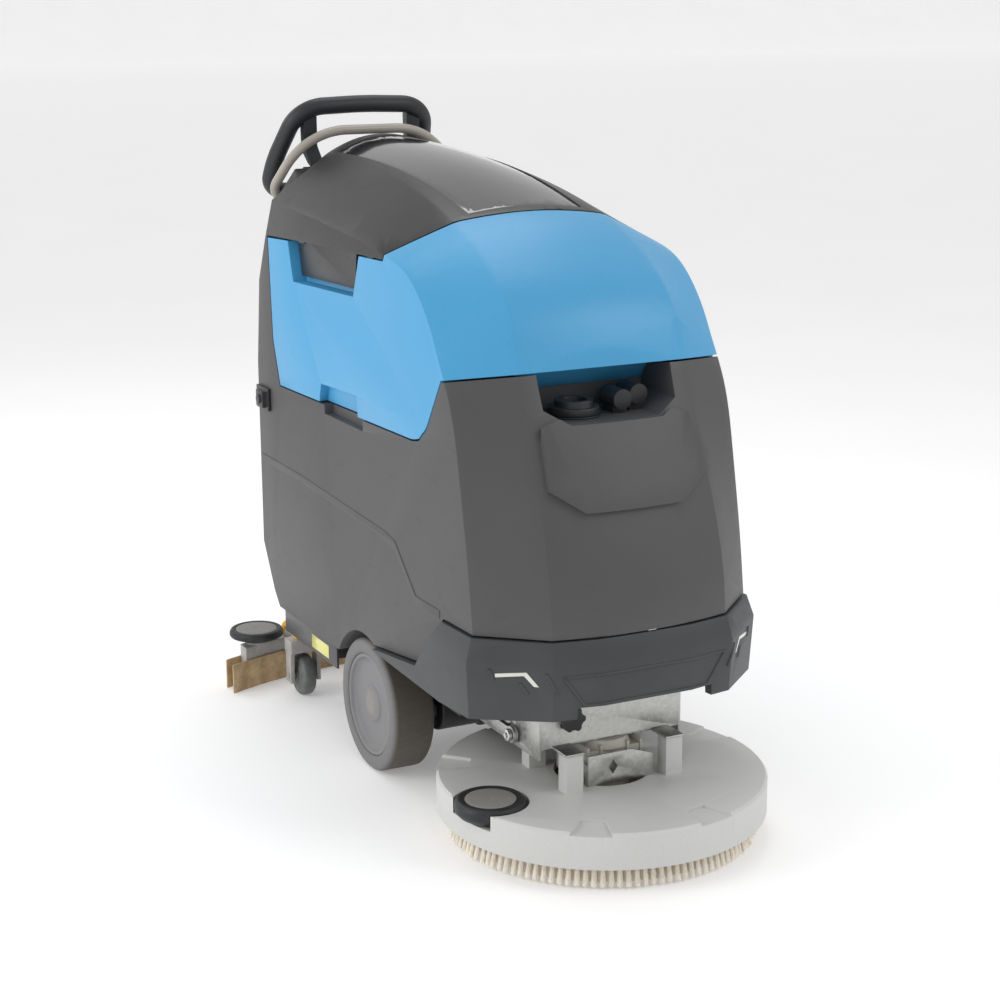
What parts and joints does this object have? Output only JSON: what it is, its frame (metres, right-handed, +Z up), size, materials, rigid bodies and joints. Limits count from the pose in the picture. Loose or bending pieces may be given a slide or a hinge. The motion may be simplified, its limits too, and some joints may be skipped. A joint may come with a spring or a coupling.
{
  "type": "floor scrubber",
  "caption": "Walk-behind battery floor scrubber with a round brush deck, trailing curved squeegee, tilting recovery tank with a hinged lid, and a looped handlebar with a control bail.",
  "frame": {"origin": "on the floor, centred left to right and front to back, under the drive axle", "axes": "+Z up, +Y towards the operator's handlebar at the rear, +X to the machine's left"},
  "size_m": [0.632, 1.32, 1.1181],
  "materials": {
    "solution_body": "fine textured",
    "tank_blue": "satin, fine grain",
    "lid_black": "satin",
    "window_smoke": "polished",
    "bumper_grey": "fine textured",
    "lens_white": "frosted",
    "deck_grey": "satin",
    "frame_grey": "powder coat",
    "zinc": "galvanised",
    "cast_cream": "as cast, painted",
    "motor_black": "satin",
    "bristle_cream": "nylon filament",
    "brush_plastic": "satin",
    "tread": "rubber",
    "wheel_grey": "satin",
    "squeegee_grey": "painted casting",
    "gum_blade": "natural gum",
    "knob_yellow": "satin",
    "caster_grey": "satin",
    "roller_black": "satin",
    "handle_black": "soft grip",
    "bail_beige": "satin",
    "dash_black": "overlay film",
    "brass": "machined",
    "key_steel": "polished",
    "seal_black": "soft",
    "battery_black": "ribbed case",
    "foam_grey": "moulded"
  },
  "bodies": {
    "chassis": {"chassis_tray": "frame_grey", "chassis_pins": "zinc", "solution_tank": "solution_body", "front_bumper": "bumper_grey", "bumper_lights": "lens_white", "control_console": "solution_body", "dash_panel": "dash_black", "handlebar": "handle_black", "batteries": "battery_black", "battery_riser": "foam_grey", "transaxle": "motor_black", "drive_motor": "motor_black", "solution_filter": "motor_black", "motor_controller": "motor_black", "rear_catch": "lid_black", "brass_hose_tail": "brass", "filler_strainer": "lid_black", "solution_coupling": "lid_black", "rear_cover": "solution_body"},
    "cap": {"filler_cap": "lid_black"},
    "left_wheel": {"left_tyre": "tread", "left_rim": "wheel_grey"},
    "right_wheel": {"right_tyre": "tread", "right_rim": "wheel_grey"},
    "lower_links": {"lower_arms": "zinc"},
    "upper_links": {"upper_arms": "zinc"},
    "deck": {"deck_hanger": "zinc", "hanger_pins": "zinc", "deck_cover": "deck_grey", "brush_gearbox": "cast_cream", "brush_motor": "motor_black", "deck_plate": "zinc"},
    "hanger_knob": {"deck_knob": "handle_black"},
    "roller": {"deck_roller": "roller_black"},
    "brush": {"brush_block": "brush_plastic", "brush_bristles": "bristle_cream"},
    "squeegee_lift_arm": {"squeegee_arm": "squeegee_grey"},
    "squeegee": {"squeegee_body": "squeegee_grey", "front_blade": "gum_blade", "rear_blade": "gum_blade", "suction_spigot": "handle_black"},
    "recovery": {"recovery_tank": "tank_blue", "lid_gasket": "seal_black", "vacuum_motor": "motor_black", "vacuum_standpipe": "lid_black"},
    "lid": {"recovery_lid": "lid_black", "lid_window": "window_smoke"},
    "bail": {"operator_bail": "bail_beige"},
    "ignition_key": {"key": "key_steel"},
    "speed_dial": {"speed_knob": "handle_black"},
    "brush_switch": {"brush_button": "lens_white"},
    "vacuum_switch": {"vacuum_button": "lens_white"},
    "left_caster": {"left_caster_wheel": "caster_grey"},
    "left_height_screw": {"left_height_knob": "knob_yellow"},
    "left_roller": {"left_end_roller": "roller_black"},
    "left_clamp": {"left_clamp_knob": "knob_yellow"},
    "right_caster": {"right_caster_wheel": "caster_grey"},
    "right_height_screw": {"right_height_knob": "knob_yellow"},
    "right_roller": {"right_end_roller": "roller_black"},
    "right_clamp": {"right_clamp_knob": "knob_yellow"}
  },
  "joints": [
    {"name": "left_wheel_spin", "type": "hinge", "parent": "chassis", "child": "left_wheel", "pos_m": [0.2, 0, 0.116], "axis": [1, 0, 0], "continuous": true},
    {"name": "right_wheel_spin", "type": "hinge", "parent": "chassis", "child": "right_wheel", "pos_m": [-0.2, 0, 0.116], "axis": [1, 0, 0], "continuous": true},
    {"name": "deck_lift", "type": "hinge", "parent": "chassis", "child": "lower_links", "pos_m": [0, -0.19, 0.16], "axis": [-1, 0, 0], "range_deg": [0, 12.6]},
    {"name": "upper_arm_swing", "type": "hinge", "parent": "chassis", "child": "upper_links", "pos_m": [0, -0.19, 0.205], "axis": [-1, 0, 0], "range_deg": [0, 12.6]},
    {"name": "deck_level", "type": "hinge", "parent": "lower_links", "child": "deck", "pos_m": [0, -0.345, 0.16], "axis": [-1, 0, 0], "range_deg": [-12.6, 0]},
    {"name": "brush_spin", "type": "hinge", "parent": "deck", "child": "brush", "pos_m": [0, -0.395, 0.06], "axis": [0, 0, 1], "continuous": true},
    {"name": "deck_roller_spin", "type": "hinge", "parent": "deck", "child": "roller", "pos_m": [-0.22, -0.437, 0.09], "axis": [0, 0, 1], "continuous": true},
    {"name": "hanger_knob_turn", "type": "hinge", "parent": "deck", "child": "hanger_knob", "pos_m": [-0.076, -0.43, 0.205], "axis": [0, 1, 0], "continuous": true},
    {"name": "squeegee_lift", "type": "hinge", "parent": "chassis", "child": "squeegee_lift_arm", "pos_m": [0, 0.33, 0.12], "axis": [1, 0, 0], "range_deg": [0, 12]},
    {"name": "squeegee_swivel", "type": "hinge", "parent": "squeegee_lift_arm", "child": "squeegee", "pos_m": [0, 0.548, 0.1], "axis": [0, 0, 1], "range_deg": [-8, 8]},
    {"name": "left_caster_spin", "type": "hinge", "parent": "squeegee", "child": "left_caster", "pos_m": [0.196, 0.41, 0.04], "axis": [1, 0, 0], "continuous": true},
    {"name": "left_height_knob_turn", "type": "hinge", "parent": "squeegee", "child": "left_height_screw", "pos_m": [0.196, 0.41, 0.12], "axis": [0, 0, 1], "continuous": true},
    {"name": "left_end_roller_spin", "type": "hinge", "parent": "squeegee", "child": "left_roller", "pos_m": [0.25, 0.51713, 0.098], "axis": [0, 0, 1], "continuous": true},
    {"name": "left_clamp_knob_turn", "type": "hinge", "parent": "squeegee", "child": "left_clamp", "pos_m": [0.175, 0.54081, 0.095], "axis": [0, 0, 1], "continuous": true},
    {"name": "right_caster_spin", "type": "hinge", "parent": "squeegee", "child": "right_caster", "pos_m": [-0.196, 0.41, 0.04], "axis": [1, 0, 0], "continuous": true},
    {"name": "right_height_knob_turn", "type": "hinge", "parent": "squeegee", "child": "right_height_screw", "pos_m": [-0.196, 0.41, 0.12], "axis": [0, 0, 1], "continuous": true},
    {"name": "right_end_roller_spin", "type": "hinge", "parent": "squeegee", "child": "right_roller", "pos_m": [-0.25, 0.51713, 0.098], "axis": [0, 0, 1], "continuous": true},
    {"name": "right_clamp_knob_turn", "type": "hinge", "parent": "squeegee", "child": "right_clamp", "pos_m": [-0.175, 0.54081, 0.095], "axis": [0, 0, 1], "continuous": true},
    {"name": "tank_tilt", "type": "hinge", "parent": "chassis", "child": "recovery", "pos_m": [0.249, 0, 0.618], "axis": [0, 1, 0], "range_deg": [0, 75]},
    {"name": "lid_open", "type": "hinge", "parent": "recovery", "child": "lid", "pos_m": [0.249, 0, 0.815], "axis": [0, 1, 0], "range_deg": [0, 80]},
    {"name": "bail_squeeze", "type": "hinge", "parent": "chassis", "child": "bail", "pos_m": [0, 0.529, 0.933], "axis": [-1, 0, 0], "range_deg": [0, 12], "stiffness_Nm_per_rad": 3},
    {"name": "key_turn", "type": "hinge", "parent": "chassis", "child": "ignition_key", "pos_m": [-0.086, 0.54361, 0.97516], "axis": [0, 0.5299, 0.848], "range_deg": [0, 90]},
    {"name": "speed_knob_turn", "type": "hinge", "parent": "chassis", "child": "speed_dial", "pos_m": [0.082, 0.54361, 0.97516], "axis": [0, 0.5299, 0.848], "range_deg": [0, 270]},
    {"name": "brush_button_press", "type": "slide", "parent": "chassis", "child": "brush_switch", "axis": [0, -0.5299, -0.848], "range_m": [0, 0.002], "stiffness_N_per_m": 400},
    {"name": "vacuum_button_press", "type": "slide", "parent": "chassis", "child": "vacuum_switch", "axis": [0, -0.5299, -0.848], "range_m": [0, 0.002], "stiffness_N_per_m": 400},
    {"name": "filler_cap_turn", "type": "hinge", "parent": "chassis", "child": "cap", "pos_m": [-0.038, -0.365, 0.68], "axis": [0, 0, 1], "range_deg": [0, 90]}
  ],
  "couplings": [
    {"joint": "upper_arm_swing", "follows": "deck_lift", "ratio": 1},
    {"joint": "deck_level", "follows": "deck_lift", "ratio": -1}
  ]
}
